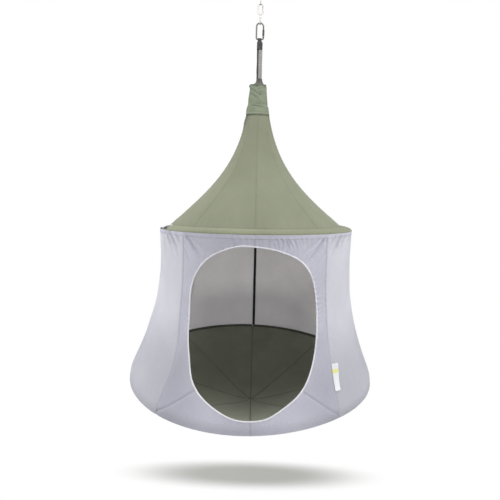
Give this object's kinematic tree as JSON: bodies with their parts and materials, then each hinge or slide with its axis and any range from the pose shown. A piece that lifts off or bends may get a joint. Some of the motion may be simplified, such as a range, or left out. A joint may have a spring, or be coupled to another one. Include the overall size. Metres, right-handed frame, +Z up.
{
  "type": "hanging pod tent",
  "caption": "Cloth pod with a hollow cone roof, an eave pole and a floor hoop, hung by a sling, locking carabiner and chain from a ceiling swivel.",
  "frame": {"origin": "middle of the ceiling plate's upper face, where it meets the ceiling", "axes": "+Z up along the hanging line; the door faces -Y; +X is to the right of someone who looks in at the door"},
  "size_m": [1.4924, 1.4982, 2.7946],
  "materials": {
    "galvanised_steel": "bright zinc plated steel",
    "bearing_steel": "ground steel",
    "polished_alloy": "satin polished aluminium alloy",
    "black_alloy": "black anodised aluminium alloy",
    "spring_steel": "plain spring wire",
    "black_webbing": "woven black polyester webbing",
    "grey_webbing": "woven grey polyester webbing",
    "olive_cloth": "matt olive green coated cloth",
    "pale_cloth": "matt pale grey cotton blend cloth",
    "dark_floor_cloth": "matt dark olive cloth",
    "white_binding": "white binding tape",
    "black_fibreglass": "black glass fibre rod",
    "white_tape": "white woven label tape, blank"
  },
  "bodies": {
    "ceiling": {"ceiling_plate": "galvanised_steel", "swivel_cup": "galvanised_steel", "thrust_bearing": "bearing_steel"},
    "eye": {"eye_bolt": "galvanised_steel"},
    "link_1": {"chain_link_1": "galvanised_steel"},
    "link_2": {"chain_link_2": "galvanised_steel"},
    "link_3": {"chain_link_3": "galvanised_steel"},
    "link_4": {"chain_link_4": "galvanised_steel"},
    "carabiner": {"carabiner_frame": "polished_alloy", "gate_pivot_pin": "bearing_steel"},
    "gate": {"carabiner_gate": "black_alloy", "gate_spring": "spring_steel"},
    "lock": {"lock_sleeve": "black_alloy"},
    "pod": {"care_tag": "white_tape", "collar": "olive_cloth", "door_binding": "white_binding", "eave_band": "olive_cloth", "eave_ferrule": "black_alloy", "eave_pole": "black_fibreglass", "eave_tunnel": "olive_cloth", "floor_back_left": "dark_floor_cloth", "floor_back_right": "dark_floor_cloth", "floor_front_left": "dark_floor_cloth", "floor_front_right": "dark_floor_cloth", "floor_rear_left": "dark_floor_cloth", "floor_rear_right": "dark_floor_cloth", "floor_side_left": "dark_floor_cloth", "floor_side_right": "dark_floor_cloth", "gather_ring": "galvanised_steel", "hoop_sleeve": "dark_floor_cloth", "hoop_spigot_back": "polished_alloy", "hoop_spigot_left": "polished_alloy", "hoop_spigot_right": "polished_alloy", "hoop_tube_front": "polished_alloy", "hoop_tube_left": "polished_alloy", "hoop_tube_right": "polished_alloy", "roof_back_left": "olive_cloth", "roof_back_right": "olive_cloth", "roof_front_left": "olive_cloth", "roof_front_right": "olive_cloth", "roof_rear_left": "olive_cloth", "roof_rear_right": "olive_cloth", "roof_side_left": "olive_cloth", "roof_side_right": "olive_cloth", "sill_panel": "pale_cloth", "sling_keeper": "black_webbing", "sling_webbing_black": "black_webbing", "sling_webbing_grey": "grey_webbing", "strap_back": "black_webbing", "strap_left": "black_webbing", "strap_right": "black_webbing", "wall_back_left": "pale_cloth", "wall_back_right": "pale_cloth", "wall_front_left": "pale_cloth", "wall_front_right": "pale_cloth", "wall_rear_left": "pale_cloth", "wall_rear_right": "pale_cloth", "wall_side_left": "pale_cloth", "wall_side_right": "pale_cloth"}
  },
  "joints": [
    {"name": "eye_swivel", "type": "hinge", "parent": "ceiling", "child": "eye", "pos_m": [0, 0, -0.0863], "axis": [0, 0, 1], "continuous": true},
    {"name": "link_1_swing", "type": "hinge", "parent": "eye", "child": "link_1", "pos_m": [0, 0, -0.1023], "axis": [0, 1, 0], "range_deg": [-25, 25]},
    {"name": "link_2_swing", "type": "hinge", "parent": "link_1", "child": "link_2", "pos_m": [0, 0, -0.166], "axis": [1, 0, 0], "range_deg": [-25, 25]},
    {"name": "link_3_swing", "type": "hinge", "parent": "link_2", "child": "link_3", "pos_m": [0, 0, -0.2297], "axis": [0, 1, 0], "range_deg": [-25, 25]},
    {"name": "link_4_swing", "type": "hinge", "parent": "link_3", "child": "link_4", "pos_m": [0, 0, -0.2934], "axis": [1, 0, 0], "range_deg": [-25, 25]},
    {"name": "carabiner_swing", "type": "hinge", "parent": "link_4", "child": "carabiner", "pos_m": [0, 0, -0.3571], "axis": [0, 1, 0], "range_deg": [-25, 25]},
    {"name": "pod_swing", "type": "hinge", "parent": "carabiner", "child": "pod", "pos_m": [0, 0, -0.4536], "axis": [1, 0, 0], "range_deg": [-25, 25]},
    {"name": "gate_hinge", "type": "hinge", "parent": "carabiner", "child": "gate", "pos_m": [0.0226, 0, -0.4356], "axis": [0, -1, 0], "range_deg": [0, 25], "stiffness_Nm_per_rad": 0.08, "springref_deg": -17.19},
    {"name": "lock_slide", "type": "slide", "parent": "gate", "child": "lock", "axis": [0, 0, 1], "range_m": [0, 0.015]}
  ]
}
